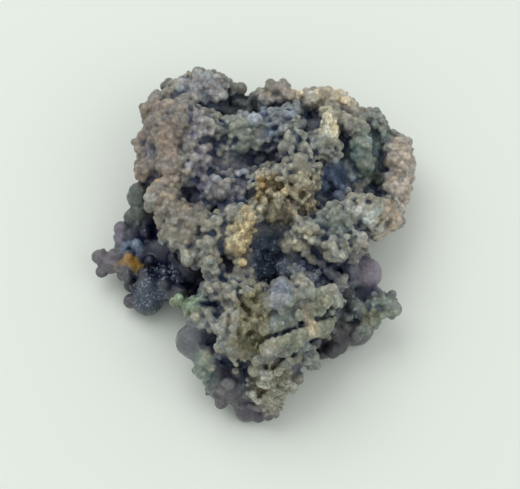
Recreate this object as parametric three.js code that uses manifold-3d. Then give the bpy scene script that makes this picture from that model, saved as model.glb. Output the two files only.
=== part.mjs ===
// Botryoidal chalcedony: one loose, palm-sized cluster of grape-like quartz balls that grew together as one
// stone. Its rough side is up: rounded rims stand round a bowl full of small balls, an arch stands over a hollow,
// a crusty column runs forward from it, thin ledges lean against the column, and two lower shelves reach out
// left and right. Smooth larger balls cover the sides and the underside, where the lowest are worn flat.
// Millimetres. +Z is up, and -Y is the side nearest the viewer.
import * as THREE from "three";
import Module from "manifold-3d";

// Driving dimensions
const WIDTH = 48.5;
const DEPTH = 53;
const HEIGHT = 21;
const CELL = 0.75; // spacing of the lattice that the stone's skin is first drawn on
const TRIANGLES = 9700; // and how many triangles are left of it
const EDGE_COST = 0.002; // keeps the triangles even where the stone is nearly flat
const COARSE_BELOW = 7;
const COARSE_SHARE = 3.5;
const BIN = 3; // forms are found by bins of this size
const FORM_REACH = 2; // how far from a form its distance counts
const FILL_DEPTH = 0.08; // how far below the skin a filled lattice corner counts as
const RIND = 1; // the lobes below are measured over their balls, and the rock under them is this much smaller
const LOBE_BLEND = 0.9; // how far neighbouring lobes melt into each other
const PIT_BLEND = 0.5; // the rounding of a hollow's lip
const BALL_BLEND = 0.25; // the small fillet in the crease between two balls
const BALL_SINK = 0.3; // share of a ball's radius that is sunk into its host
const BALL_GAP = 0.8; // how close two balls sit, as a share of their radii together
const BALL_TRIES = 20000;
const HOLLOW_MARGIN = 0.2; // balls stay this far out of a hollow
const SEED = 7;

// Lobes as [x, y, z, half width, half depth, half height]
const BODY = [
  [-8, 9, 8, 9, 9.5, 7.5],
  [8, 9, 7.5, 11.5, 9, 6.5],
  [0, 0, 8, 12, 9, 8.5],
  [7, -3, 8, 9, 8, 8],
  [-2, -14, 7.5, 7, 11, 8.5],
  [6, -13, 7, 6.4, 7, 7],
  [-12, -4, 3.5, 8, 7, 4],
  [12, -13, 4, 6.5, 6, 4.5],
  [16.5, 6.5, 5.6, 6, 8.5, 4.6],
  [-17.5, -3.5, 3.6, 5.5, 5.5, 3.8],
];
const LEFT_DOME = [
  [-13.7, 14.8, 12, 4.6, 4.6, 5],
  [-15.2, 10.3, 11, 4, 4.5, 5],
  [-15.1, 6.7, 11, 3.9, 3.5, 4.5],
  [-11.8, 17.4, 12, 4.4, 4.2, 5],
  [-8.8, 19.6, 11, 4.6, 4, 5],
  [-6.1, 19.7, 11, 3.6, 3.4, 4],
  [-3.1, 18.4, 10.5, 3.2, 3, 4],
  [-11.6, 11.3, 15.6, 5.6, 5.2, 5],
  [-11.1, 6.6, 14, 5, 5, 5],
  [-8.1, 11.1, 13, 5, 5, 5],
];
const LEFT_APRON = [
  [-13.7, -0.2, 15, 3.4, 4, 4],
  [-12.6, -4.9, 14.5, 2.8, 3.2, 4],
  [-9.6, -3.5, 15, 3.5, 3.5, 4],
  [-10.3, -6.3, 14, 2.6, 2.6, 3.5],
  [-8.4, -8.1, 14.5, 2.6, 2.6, 3.5],
  [-6.6, -10.1, 15.5, 2.2, 2.2, 3],
  [-5.8, -5.3, 15.5, 4, 4, 4],
];
const BACK_RIM = [
  [0.4, 18.1, 10.5, 2.9, 2.8, 4],
  [3.1, 19.1, 10.5, 3.2, 3.2, 4],
  [6.1, 17.8, 10.5, 3, 2.8, 4],
  [9.9, 18.1, 10.5, 3.6, 3.2, 4],
  [12.6, 17.4, 10.5, 2.8, 3, 4],
  [13.9, 15.9, 10, 2.4, 3, 4],
  [16.3, 15.4, 9.5, 2.4, 2.9, 4],
  [18.6, 13.6, 9, 2.8, 2.8, 4],
];
const RIGHT_RIM = [
  [21.2, 11.7, 8, 3, 3, 4],
  [21.7, 8.6, 8, 3, 3, 4],
  [19.9, 4.8, 8.5, 2.8, 3, 4],
  [19.9, 1.9, 8.5, 3, 2.6, 4],
  [18.9, -0.2, 8, 3.1, 2.6, 3.5],
  [16.9, -2.3, 8, 3, 2.2, 3.5],
];
const BOWL = [
  [15.9, 9.9, 12, 4, 4.5, 4.5],
  [13.7, 11.5, 14, 3, 3.5, 4],
  [11.1, 13.7, 16.5, 2, 1.8, 3],
  [10.7, 10.8, 17, 2.2, 2, 3],
  [0.4, 11.9, 13, 5, 4, 4],
  [-3.1, 11.9, 13, 3, 3, 3.5],
  [4.6, 13.1, 14, 3.4, 3.4, 4],
  [5.4, 8.3, 16, 3, 4, 4.5],
  [9.2, 8.7, 15, 3, 3, 4],
];
const CROWN = [
  [6.1, 3, 17, 4.2, 4, 4],
  [1.6, 2.4, 16.5, 3.4, 3, 4],
  [2.4, -1.7, 16.5, 4, 3, 4],
  [6.1, -0.4, 15.5, 3.4, 3.6, 4],
  [-2.1, -4.3, 17, 3.2, 3, 4],
  [-2.9, -7.3, 16.5, 2.6, 3, 4],
  [-5.1, 2.6, 14, 4, 4, 4],
  [11.4, -3.3, 14.5, 4, 3.4, 4],
  [15.9, -1, 13, 4, 3.4, 4],
  [7.6, -5.3, 15.5, 3.4, 2.6, 4],
  [11.4, -7.5, 15, 3.4, 2.4, 3.5],
  [14.4, -6.9, 13.5, 3, 2.4, 3.5],
];
const COLUMN = [
  [-2.1, -15.8, 15.5, 4, 3.6, 4.5],
  [-2.9, -19.6, 15, 3.4, 3.6, 4.5],
  [-3.3, -22.3, 14, 3.2, 3.2, 4.5],
  [0.4, -20.3, 14.5, 2.6, 3.5, 4],
  [-6.6, -13.9, 13.5, 2.2, 2.4, 3.5],
  [-8.1, -18.4, 12, 3, 2.6, 4],
  [-10, -20.7, 9.5, 2.5, 3, 4.5],
  [-8.4, -18.8, 10, 3.6, 3.8, 4.5],
  [-7, -23.2, 9, 2.6, 2.6, 4],
  [-10.3, -15, 11.5, 2.8, 1.6, 2.5],
];
const FOOT = [
  [0.4, -25.4, 8, 3.4, 2.8, 4],
  [3.4, -25.3, 7, 2.6, 3, 4],
  [-2.1, -27.9, 3.5, 2.8, 1.8, 3],
  [1.6, -27.3, 5, 3, 2.2, 3.5],
  [-4.2, -24.9, 4.5, 3.2, 2.8, 4.5],
];
const RIGHT_SHELF = [
  [16.3, -8.7, 7, 2.6, 2.4, 3.5],
  [13.3, -11.6, 9, 1.6, 1.6, 2],
  [13.9, -13.5, 9, 1.5, 1.5, 2],
  [18, -13.8, 6.5, 3.4, 3.2, 3],
  [14.4, -16.7, 6.5, 3, 2, 3],
  [10.9, -18.3, 4, 2.7, 2.5, 4],
];
const LEFT_SHELF = [
  [-17.8, 3, 7, 2.5, 2.6, 4],
  [-17.4, -0.5, 6.5, 2.8, 2.6, 3.5],
  [-19.9, -2.1, 4.5, 2.2, 1.9, 3],
  [-22.1, -5.1, 3.8, 2, 2, 3],
  [-20.1, -6.5, 4.5, 2.4, 2, 3],
  [-16.3, -10.6, 4.5, 3, 2.8, 4],
  [-13.3, -9.9, 5, 3, 2.8, 4],
  [-17.6, -4.4, 6.5, 2, 2, 2.5],
  [-14.1, -4.3, 5, 4, 4, 4],
  [-10.3, -7.7, 5.5, 3.5, 3.5, 4],
];
const LOBES = [
  BODY, LEFT_DOME, LEFT_APRON, BACK_RIM, RIGHT_RIM, BOWL, CROWN, COLUMN, FOOT, RIGHT_SHELF, LEFT_SHELF,
].flat();

// Ledges lean against the column's right side, as [start, end, radius]
const LEDGES = [
  [[1.5, -19.5, 16], [11.4, -15, 14.4], 1.5],
  [[0.8, -23.3, 14], [10.4, -19, 12.6], 1.4],
  [[0, -24.8, 11.5], [7.2, -22.5, 10], 1.3],
  [[2.2, -16.3, 17], [6.2, -14.8, 16], 2],
];

// Hollows cut into the lobes, in the same form
const PITS = [
  [1.6, -8.3, 15, 2.8, 3.6, 6],
  [2.3, -11.4, 14, 2.6, 1.8, 6],
  [11.4, 3.6, 14, 2.5, 3.4, 6],
  [-2.3, 17.2, 13, 3.2, 2.3, 4.5],
  [2.9, 7, 17, 0.9, 2, 4],
  [-5.6, 6.8, 18, 2, 4.2, 4.5],
  [-9.4, 0.4, 18, 1.4, 3.6, 3.4],
  [12.8, 9.9, 16, 0.9, 2.4, 4],
  [17.8, 11.2, 13, 1.8, 3.6, 3.6],
  [13.6, -16, 9, 1.6, 1.6, 4],
];

// Balls that stand alone, as [x, y, z, radius]
const LONE_BALLS = [
  [-1, -9.5, 10, 1.6],
  [3.7, -8.8, 10.5, 1.5],
  [12.7, 2, 10.6, 1.2],
  [14.3, 2.4, 10.8, 1.2],
  [-12.8, -7.5, 7.2, 1],
  [-10, -20.3, 10.5, 2.5],
  [-8.8, -15.8, 12, 1.9],
  [-4.6, -25.2, 5.3, 3.2],
  [16.2, -8.5, 7.5, 2.8],
  [13, -11.4, 9.2, 1.5],
  [13.7, -13.2, 8.8, 1.5],
  [11.3, -18.2, 4.4, 2.7],
  [-22.4, -5.5, 4.2, 2],
  [-20.4, -2, 5.4, 1.7],
];

// The size of the balls that cover each part of the stone
const BALL_SIZES = [
  { from: -Infinity, to: 6, least: 2, most: 3.2 },
  { from: 6, to: 11, least: 1.7, most: 2.5 },
  { from: 11, to: Infinity, least: 1.05, most: 1.6 },
];

// A seeded random number from 0 to 1, the same on every run
function randomFrom(seed) {
  let state = seed;
  return () => {
    state = (state * 1664525 + 1013904223) % 4294967296;
    return state / 4294967296;
  };
}

// Joins two distances with a fillet of that size
function blend(a, b, size) {
  const share = Math.max(size - Math.abs(a - b), 0) / size;
  return Math.min(a, b) - (share * share * size) / 4;
}

// A form is its bounding box and the distance from a point to its surface, below zero inside it
function lobeForm([x, y, z, rx, ry, rz]) {
  const half = new THREE.Vector3(rx, ry, rz);
  const centre = new THREE.Vector3(x, y, z);
  return {
    box: new THREE.Box3(centre.clone().sub(half), centre.clone().add(half)),
    distance: (p) => {
      const [dx, dy, dz] = [p.x - x, p.y - y, p.z - z];
      const near = Math.hypot(dx / rx, dy / ry, dz / rz);
      const steep = Math.hypot(dx / rx ** 2, dy / ry ** 2, dz / rz ** 2);
      return steep < 1e-9 ? -Math.min(rx, ry, rz) : (near * (near - 1)) / steep;
    },
  };
}

function ledgeForm([start, end, radius]) {
  const line = new THREE.Line3(new THREE.Vector3(...start), new THREE.Vector3(...end));
  const foot = new THREE.Vector3();
  return {
    box: new THREE.Box3().setFromPoints([line.start, line.end]).expandByScalar(radius),
    distance: (p) => line.closestPointToPoint(p, true, foot).distanceTo(p) - radius,
  };
}

function ballForm(centre, radius) {
  return {
    centre,
    radius,
    box: new THREE.Box3(centre, centre).clone().expandByScalar(radius),
    distance: (p) => centre.distanceTo(p) - radius,
  };
}

// Sorts forms into bins, so that a point asks only the forms within FORM_REACH of it
function binned(forms) {
  const bins = new Map();
  const bin = (value) => Math.floor(value / BIN) + 50;
  const key = (i, j, k) => i + 100 * (j + 100 * k);
  for (const form of forms) {
    const box = form.box.clone().expandByScalar(FORM_REACH);
    for (let i = bin(box.min.x); i <= bin(box.max.x); i++)
      for (let j = bin(box.min.y); j <= bin(box.max.y); j++)
        for (let k = bin(box.min.z); k <= bin(box.max.z); k++) {
          const at = key(i, j, k);
          if (!bins.has(at)) bins.set(at, []);
          bins.get(at).push(form);
        }
  }
  return (p) => bins.get(key(bin(p.x), bin(p.y), bin(p.z))) ?? [];
}

// The stone before its balls: lobes and ledges, with the hollows cut out
const rock = LOBES.map(([x, y, z, ...half]) => lobeForm([x, y, z, ...half.map((r) => r - RIND)]));
const lobesNear = binned([...rock, ...LEDGES.map(ledgeForm)]);
const pits = PITS.map(lobeForm);
const pitsNear = binned(pits);

function toRock(p) {
  let d = FORM_REACH;
  for (const form of lobesNear(p)) d = blend(d, form.distance(p), LOBE_BLEND);
  for (const pit of pitsNear(p)) d = -blend(-d, pit.distance(p), PIT_BLEND);
  return d;
}

// The way out of the stone at a point
function slope(distance, p) {
  const reach = 0.05;
  const at = (x, y, z) => distance(new THREE.Vector3(p.x + x, p.y + y, p.z + z));
  return new THREE.Vector3(
    at(reach, 0, 0) - at(-reach, 0, 0),
    at(0, reach, 0) - at(0, -reach, 0),
    at(0, 0, reach) - at(0, 0, -reach),
  ).normalize();
}

// Balls over the whole rock but its hollows, none of them closer to another than BALL_GAP allows
function growBalls() {
  const random = randomFrom(SEED);
  const balls = LONE_BALLS.map(([x, y, z, radius]) => ballForm(new THREE.Vector3(x, y, z), radius));
  for (let i = 0; i < BALL_TRIES; i++) {
    const p = new THREE.Vector3(
      (random() - 0.5) * WIDTH,
      (random() - 0.5) * DEPTH - 3,
      random() * HEIGHT,
    );
    const share = random();
    const depth = toRock(p);
    if (Math.abs(depth) > 1.5) continue;
    p.addScaledVector(slope(toRock, p), -depth);
    if (pits.some((pit) => pit.distance(p) < HOLLOW_MARGIN)) continue;
    const size = BALL_SIZES.find((s) => p.z >= s.from && p.z < s.to);
    const radius = size.least + share * (size.most - size.least);
    p.addScaledVector(slope(toRock, p), -radius * BALL_SINK);
    if (balls.every((b) => b.centre.distanceTo(p) > (b.radius + radius) * BALL_GAP))
      balls.push(ballForm(p, radius));
  }
  return balls;
}

// The whole stone, with its balls
function stoneWith(balls) {
  const ballsNear = binned(balls);
  return (p) => {
    let d = toRock(p);
    for (const ball of ballsNear(p)) d = blend(d, ball.distance(p), BALL_BLEND);
    return d;
  };
}

// Samples a distance on a lattice that holds the whole stone
function sample(distance) {
  const low = new THREE.Vector3(-WIDTH / 2 - 4, -DEPTH / 2 - 8, -6);
  const high = new THREE.Vector3(WIDTH / 2 + 4, DEPTH / 2 + 4, HEIGHT + 5);
  const size = high.clone().sub(low).divideScalar(CELL).ceil();
  const count = [size.x + 1, size.y + 1, size.z + 1];
  const index = (i, j, k) => (k * count[1] + j) * count[0] + i;
  const place = (i, j, k) => new THREE.Vector3(i, j, k).multiplyScalar(CELL).add(low);
  const values = new Float64Array(count[0] * count[1] * count[2]);
  for (let k = 0; k < count[2]; k++)
    for (let j = 0; j < count[1]; j++)
      for (let i = 0; i < count[0]; i++) values[index(i, j, k)] = distance(place(i, j, k));
  return { low, count, index, place, values };
}

// Fills the lattice corners where two bits of stone would touch at only an edge or a point
function mendTouching({ count, index, values }) {
  const inside = ([i, j, k]) => values[index(i, j, k)] < 0;
  const fill = ([i, j, k]) => {
    values[index(i, j, k)] = -FILL_DEPTH;
  };
  const shift = (corner, ...moves) =>
    corner.map((c, n) => c + moves.reduce((sum, move) => sum + move[n], 0));
  const squares = [
    [[1, 0, 0], [0, 1, 0]],
    [[0, 1, 0], [0, 0, 1]],
    [[1, 0, 0], [0, 0, 1]],
  ];
  const cube = [0, 1, 2, 3, 4, 5, 6, 7].map((n) => [n & 1, (n >> 1) & 1, n >> 2]);
  let changed = true;
  while (changed) {
    changed = false;
    for (let k = 0; k < count[2] - 1; k++)
      for (let j = 0; j < count[1] - 1; j++)
        for (let i = 0; i < count[0] - 1; i++) {
          const corner = [i, j, k];
          for (const [a, b] of squares) {
            const pair = [corner, shift(corner, a, b)].map(inside);
            const other = [shift(corner, a), shift(corner, b)].map(inside);
            if (pair[0] !== pair[1] || other[0] !== other[1] || pair[0] === other[0]) continue;
            fill(pair[0] ? shift(corner, a) : corner);
            changed = true;
          }
          const full = cube.filter((move) => inside(shift(corner, move)));
          const rest = cube.filter((move) => !inside(shift(corner, move)));
          const few = full.length < rest.length ? full : rest;
          if (few.length !== 2 || few[0].some((c, n) => c === few[1][n])) continue;
          fill(shift(corner, rest[0]));
          changed = true;
        }
  }
}

// Fills the sealed pockets and drops the crumbs that touch nothing
function keepOneStone({ count, index, values }) {
  const start = [Math.floor(count[0] / 2), Math.floor(count[1] / 2), Math.floor(count[2] / 2)];
  while (values[index(...start)] >= 0) start[2]--;
  const reach = (from, within) => {
    const seen = new Set([index(...from)]);
    const waiting = [from];
    while (waiting.length) {
      const [i, j, k] = waiting.pop();
      const sides = [[i + 1, j, k], [i - 1, j, k], [i, j + 1, k], [i, j - 1, k], [i, j, k + 1], [i, j, k - 1]];
      for (const next of sides) {
        if (next.some((c, n) => c < 0 || c >= count[n])) continue;
        const at = index(...next);
        if (seen.has(at) || !within(values[at])) continue;
        seen.add(at);
        waiting.push(next);
      }
    }
    return seen;
  };
  const stone = reach(start, (value) => value < 0);
  values.forEach((value, at) => {
    if (value < 0 && !stone.has(at)) values[at] = FILL_DEPTH;
  });
  const open = reach([0, 0, 0], (value) => value >= 0);
  values.forEach((value, at) => {
    if (value >= 0 && !open.has(at)) values[at] = -FILL_DEPTH;
  });
}

// Draws the skin: one corner point in each lattice cell that the surface crosses, pulled into the creases,
// and one four-sided patch round each lattice edge that it crosses
function skin(distance) {
  const lattice = sample(distance);
  mendTouching(lattice);
  keepOneStone(lattice);
  const { count, index, place, values } = lattice;
  const steps = [
    [1, 0, 0],
    [0, 1, 0],
    [0, 0, 1],
  ];
  const crossings = new Map(); // cell index to the crossings on its edges
  const patches = [];
  for (let k = 1; k < count[2] - 1; k++)
    for (let j = 1; j < count[1] - 1; j++)
      for (let i = 1; i < count[0] - 1; i++)
        steps.forEach((step, axis) => {
          const here = values[index(i, j, k)];
          const next = values[index(i + step[0], j + step[1], k + step[2])];
          if (here < 0 === next < 0) return;
          const start = place(i, j, k);
          const end = place(i + step[0], j + step[1], k + step[2]);
          const point = start.lerp(end, here / (here - next));
          const normal = slope(distance, point);
          const [u, v] = [steps[(axis + 1) % 3], steps[(axis + 2) % 3]];
          const round = [
            index(i, j, k),
            index(i - u[0], j - u[1], k - u[2]),
            index(i - u[0] - v[0], j - u[1] - v[1], k - u[2] - v[2]),
            index(i - v[0], j - v[1], k - v[2]),
          ];
          for (const cell of round) {
            if (!crossings.has(cell)) crossings.set(cell, []);
            crossings.get(cell).push({ point, normal });
          }
          patches.push(here < 0 ? round : round.reverse());
        });

  const positions = [];
  const corner = new Map();
  for (const [cell, found] of crossings) {
    corner.set(cell, positions.length / 3);
    const i = cell % count[0];
    const j = Math.floor(cell / count[0]) % count[1];
    const k = Math.floor(cell / count[0] / count[1]);
    positions.push(...creasePoint(found, place(i, j, k)).toArray());
  }
  const triangles = [];
  const at = (n) => new THREE.Vector3().fromArray(positions, n * 3);
  for (const patch of patches) {
    const [a, b, c, d] = patch.map((cell) => corner.get(cell));
    const across = at(a).distanceTo(at(c)) < at(b).distanceTo(at(d));
    triangles.push(...(across ? [a, b, c, a, c, d] : [a, b, d, b, c, d]));
  }
  return { positions, triangles };
}

// The point in a cell that lies best on the planes through all its crossings
function creasePoint(found, lowest) {
  const pull = 0.08; // keeps the point near the crossings' middle where they are nearly flat
  const middle = new THREE.Vector3();
  for (const { point } of found) middle.addScaledVector(point, 1 / found.length);
  let [xx, xy, xz, yy, yz, zz] = [pull, 0, 0, pull, 0, pull];
  const target = new THREE.Vector3();
  for (const { point, normal: n } of found) {
    xx += n.x * n.x;
    xy += n.x * n.y;
    xz += n.x * n.z;
    yy += n.y * n.y;
    yz += n.y * n.z;
    zz += n.z * n.z;
    target.addScaledVector(n, n.dot(point.clone().sub(middle)));
  }
  const solve = new THREE.Matrix3().set(xx, xy, xz, xy, yy, yz, xz, yz, zz).invert();
  const inset = CELL * 0.05;
  const cell = new THREE.Box3(
    lowest.clone().addScalar(inset),
    lowest.clone().addScalar(CELL - inset),
  );
  return cell.clampPoint(target.applyMatrix3(solve).add(middle), new THREE.Vector3());
}

// A heap that gives back its cheapest entry first
class Cheapest {
  entries = [];

  add(entry) {
    const e = this.entries;
    e.push(entry);
    let at = e.length - 1;
    while (at > 0) {
      const parent = (at - 1) >> 1;
      if (e[parent].cost <= e[at].cost) break;
      [e[parent], e[at]] = [e[at], e[parent]];
      at = parent;
    }
  }

  take() {
    const e = this.entries;
    const first = e[0];
    const last = e.pop();
    if (!e.length) return first;
    e[0] = last;
    let at = 0;
    for (;;) {
      let least = at;
      for (const child of [2 * at + 1, 2 * at + 2])
        if (child < e.length && e[child].cost < e[least].cost) least = child;
      if (least === at) return first;
      [e[least], e[at]] = [e[at], e[least]];
      at = least;
    }
  }
}

// The sum of squared distances to planes, as the ten numbers of a symmetric matrix
function addPlane(q, n, d, weight) {
  const v = [n.x, n.y, n.z, d];
  let at = 0;
  for (let i = 0; i < 4; i++) for (let j = i; j < 4; j++) q[at++] += weight * v[i] * v[j];
}

function planesCost(q, p) {
  const v = [p.x, p.y, p.z, 1];
  let at = 0;
  let sum = 0;
  for (let i = 0; i < 4; i++) for (let j = i; j < 4; j++) sum += q[at++] * v[i] * v[j] * (i === j ? 1 : 2);
  return Math.max(sum, 0);
}

// The point nearest all the planes, but held to the edge's middle where they are nearly parallel
function bestPoint(q, middle) {
  const hold = 1e-3 * (q[0] + q[4] + q[7]);
  const m = new THREE.Matrix3().set(
    q[0] + hold, q[1], q[2],
    q[1], q[4] + hold, q[5],
    q[2], q[5], q[7] + hold,
  );
  const target = middle.clone().multiplyScalar(hold).sub(new THREE.Vector3(q[3], q[6], q[8]));
  return target.applyMatrix3(m.invert());
}

// Draws together the edges that matter least, until few enough triangles are left
function simplify({ positions, triangles }, limit) {
  const corners = [];
  for (let n = 0; n < positions.length; n += 3) {
    const p = new THREE.Vector3().fromArray(positions, n);
    corners.push({ p, faces: new Set(), q: new Float64Array(10), age: 0 });
  }
  const triangleOf = (face) => new THREE.Triangle(...face.map((n) => corners[n].p));
  const normalOf = (face) => triangleOf(face).getNormal(new THREE.Vector3());
  let left = 0;
  for (let n = 0; n < triangles.length; n += 3) {
    const face = triangles.slice(n, n + 3);
    const normal = normalOf(face);
    const weight = triangleOf(face).getArea();
    for (const c of face) {
      corners[c].faces.add(face);
      addPlane(corners[c].q, normal, -normal.dot(corners[face[0]].p), weight);
    }
    left++;
  }
  const neighbours = (n) => new Set([...corners[n].faces].flat().filter((c) => c !== n));
  const heap = new Cheapest();
  const offer = (a, b) => {
    const q = corners[a].q.map((value, i) => value + corners[b].q[i]);
    const middle = corners[a].p.clone().lerp(corners[b].p, 0.5);
    let place = bestPoint(q, middle);
    if (place.distanceTo(middle) > corners[a].p.distanceTo(corners[b].p)) place = middle;
    const length = corners[a].p.distanceTo(corners[b].p);
    const cost = planesCost(q, place) + EDGE_COST * length * length;
    heap.add({ cost: cost / hiddenShare(place), a, b, q, place, ages: [corners[a].age, corners[b].age] });
  };
  corners.forEach((_, n) => neighbours(n).forEach((c) => c > n && offer(n, c)));
  while (left > limit && heap.entries.length) {
    const { a, b, q, place, ages } = heap.take();
    if (corners[a].age !== ages[0] || corners[b].age !== ages[1]) continue;
    const around = neighbours(b);
    if ([...neighbours(a)].filter((c) => around.has(c)).length !== 2) continue;
    const moved = (face) => face.map((c) => (c === a || c === b ? place : corners[c].p));
    const turns = [...corners[a].faces, ...corners[b].faces].some((face) => {
      if (face.includes(a) && face.includes(b)) return false;
      const after = new THREE.Triangle(...moved(face));
      return after.getNormal(new THREE.Vector3()).dot(normalOf(face)) < 0.3 || after.getArea() < 0.02;
    });
    if (turns) continue;
    for (const face of corners[b].faces) {
      if (face.includes(a)) {
        for (const c of face) corners[c].faces.delete(face);
        left--;
      } else {
        face[face.indexOf(b)] = a;
        corners[a].faces.add(face);
      }
    }
    corners[b].faces.clear();
    corners[b].age = -1;
    corners[a].p.copy(place);
    corners[a].q = q;
    corners[a].age++;
    for (const c of neighbours(a)) offer(a, c);
  }
  const kept = corners.filter((corner) => corner.faces.size);
  kept.forEach((corner, n) => {
    corner.number = n;
  });
  const faces = new Set(kept.flatMap((corner) => [...corner.faces]));
  const geometry = new THREE.BufferGeometry();
  const flat = kept.flatMap((corner) => corner.p.toArray());
  geometry.setAttribute("position", new THREE.Float32BufferAttribute(flat, 3));
  geometry.setIndex([...faces].flat().map((n) => corners[n].number));
  return geometry;
}

// Low and down-facing parts can be drawn more coarsely than the top
function hiddenShare(p) {
  return p.z < COARSE_BELOW ? COARSE_SHARE : 1;
}

const wasm = await Module();
wasm.setup();

function solidOf(geometry) {
  return new wasm.Manifold(
    new wasm.Mesh({
      numProp: 3,
      vertProperties: geometry.getAttribute("position").array,
      triVerts: new Uint32Array(geometry.index.array),
    }),
  );
}

function geometryOf(solid) {
  const mesh = solid.getMesh();
  const geometry = new THREE.BufferGeometry();
  geometry.setAttribute("position", new THREE.BufferAttribute(mesh.vertProperties, 3));
  geometry.setIndex(new THREE.BufferAttribute(mesh.triVerts, 1));
  return geometry;
}

// Wears the lowest balls flat, so that the stone rests on them
function wearFlat(geometry) {
  const room = new THREE.BoxGeometry(WIDTH * 2, DEPTH * 2, HEIGHT * 2);
  room.translate(0, 0, HEIGHT);
  room.deleteAttribute("normal");
  room.deleteAttribute("uv");
  return geometryOf(solidOf(geometry).intersect(solidOf(mergeCorners(room))));
}

// A box with its eight corners shared
function mergeCorners(box) {
  const kept = new Map();
  const positions = [];
  const all = box.getAttribute("position");
  const shared = [...box.index.array].map((n) => {
    const p = [all.getX(n), all.getY(n), all.getZ(n)];
    const key = p.join();
    if (!kept.has(key)) {
      kept.set(key, positions.length / 3);
      positions.push(...p);
    }
    return kept.get(key);
  });
  const geometry = new THREE.BufferGeometry();
  geometry.setAttribute("position", new THREE.Float32BufferAttribute(positions, 3));
  geometry.setIndex(shared);
  return geometry;
}

const stone = wearFlat(simplify(skin(stoneWith(growBalls())), TRIANGLES));
stone.computeBoundingBox();
const middle = stone.boundingBox.getCenter(new THREE.Vector3());
stone.translate(-middle.x, -middle.y, 0);
stone.computeVertexNormals();

const chalcedony = new THREE.Mesh(
  stone,
  new THREE.MeshStandardMaterial({ color: 0x8d8a93, roughness: 0.45, metalness: 0 }),
);
chalcedony.name = "chalcedony_cluster";

const specimen = new THREE.Group();
specimen.add(chalcedony);

export default specimen;
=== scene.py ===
"""The looks of a loose botryoidal chalcedony cluster: fine grape-like grains over the CAD solid's lumps.

The grains are scattered by Geometry Nodes, melted into one skin, and coloured by named areas of the stone,
with painted shade in its hollows and painted light on its tips.
Lengths are in millimetres in the row frame, unless MM turns them into metres.
"""

import math

import bmesh
import bpy
import numpy as np
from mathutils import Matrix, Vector, noise
from mathutils.bvhtree import BVHTree
from mathutils.kdtree import KDTree


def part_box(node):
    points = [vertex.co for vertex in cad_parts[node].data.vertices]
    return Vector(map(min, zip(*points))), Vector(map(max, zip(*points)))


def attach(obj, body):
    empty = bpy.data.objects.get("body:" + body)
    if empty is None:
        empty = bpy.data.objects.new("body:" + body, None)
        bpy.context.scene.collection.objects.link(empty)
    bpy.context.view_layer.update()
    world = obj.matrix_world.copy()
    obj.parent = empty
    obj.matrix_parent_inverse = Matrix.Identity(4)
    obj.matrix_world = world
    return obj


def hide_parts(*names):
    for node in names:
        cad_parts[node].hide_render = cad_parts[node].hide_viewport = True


MM = 0.001
NODE = "chalcedony_cluster"

# The skin's make-up
HOST_VOXEL = 0.4
HOST_SMOOTHING = 5
SMOOTHING_FACTOR = 0.5
GRAIN_ROOM = 0.5  # the host shrinks by this much, so that its grains reach out to the CAD solid's skin
SMOOTH_ROOM = 0.35  # the share of that room which the smooth and the low parts give
SKIN_VOXEL = 0.18
SKIN_TRIANGLES = 194000
COARSE_FACTOR = 7e-7  # how much more coarsely the low and the smooth parts are drawn
COARSE_LEVELS = 4
LEAST_WEIGHT = 0.02  # no part has less, because parts without weight are never thinned
LOW_PARTS = (4, 8)  # parts count as low below these heights
CLUMP_SIZE = 1.6  # grains gather in clumps about this far apart
BALL_POINTS = 42  # how many points each scattered ball has
FLAT_HEIGHT = 0.6  # below this the worn flats are left as they are
GRAIN_DENSITY = 6e6  # how many grains are tried for each square metre
UNEVEN = 0.12  # how far a grain strays from round

# The finest grains are drawn in the material, because real ones run down to 0.1 mm. These are their widths.
CRUST_GRAIN = 0.75
CRUST_SOFTNESS = 0.12
SUGAR_GRAIN = 0.28
CRYSTAL = 0.3
MOTTLE = 0.5
PORES = 0.25
BLOTCH = 1000 / 260

# How much lighter and darker those patterns turn the stone
FLECK_SHADES = (0.7, 1.3)
BLOTCH_SHADES = (0.85, 1.15)
# The crust's fine grains get painted light on their tops and painted shade at their edges
CRUST_LIGHT_AND_SHADE = (0.14, -0.28)
SUGAR_SHADES = (-0.28, 0.28)
SPARKS = (0.74, 0.8)  # crystals above this share of the cells' values sparkle
# Painted glints: the sparkling crystals' colour turns pale blue-white, up to this share
GLINT_PAINT_COVER = 0.5
GLINT_PAINT_COLOUR = "#aeb9cc"
SPARK_POLISH = -0.3
ROUGHNESS = (0.28, 0.5)
WAX_POLISH = -0.12  # how much less rough smooth balls are
# Shut-in places lose gloss, as painted shade on their reflections
GLOSS = (0.05, 0.45)  # the gloss in the hollows, and how much the open parts have on top
BUMP_STRENGTH = 0.7
BUMP_HEIGHT = 0.22
QUARTZ_IOR = 1.54
GLOW = 0.35  # how much of the light scatters under the surface
GLOW_RADIUS = (1.0, 0.85, 0.75)
GLOW_SCALE = 0.25

# Grains as least radius, most radius, spacing and share of the radius that stands proud
LARGE_GRAINS = (0.8, 1.3, 2.0, 0.1)
GRAPES = (0.42, 0.8, 0.85, 0.45)
FUSED_GRAPES = (0.5, 0.9, 0.95, 0.0)
SMALL_GRAINS = (0.3, 0.44, 0.65, 0.8)
LARGE_ABOVE = (0.8, 2)  # large grains begin between these heights
GRAPES_ABOVE = (3, 6)

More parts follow.
